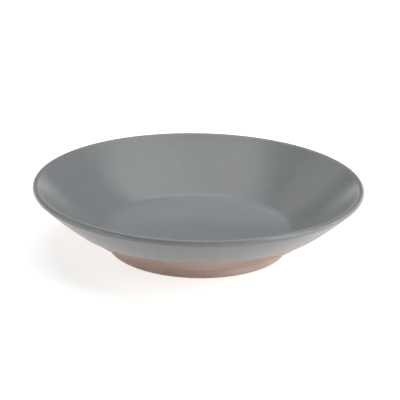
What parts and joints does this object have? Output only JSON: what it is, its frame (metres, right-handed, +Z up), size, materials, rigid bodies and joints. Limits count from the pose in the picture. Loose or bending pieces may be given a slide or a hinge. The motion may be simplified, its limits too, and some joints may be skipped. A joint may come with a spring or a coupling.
{
  "type": "deep plate",
  "caption": "Round deep plate with a wide sloping wall, a rounded lip and a turned foot ring, glazed inside and halfway down the outside over bare stoneware.",
  "frame": {"origin": "on the table, at the middle of the foot ring", "axes": "+Z up along the plate's axis; X and Y lie in the table and are alike, because the plate is round"},
  "size_m": [0.22, 0.22, 0.045],
  "materials": {
    "bare_stoneware": "matt",
    "grey_glaze": "satin"
  },
  "bodies": {
    "root": {"stoneware_body": "bare_stoneware", "glaze_coat": "grey_glaze"}
  },
  "joints": []
}
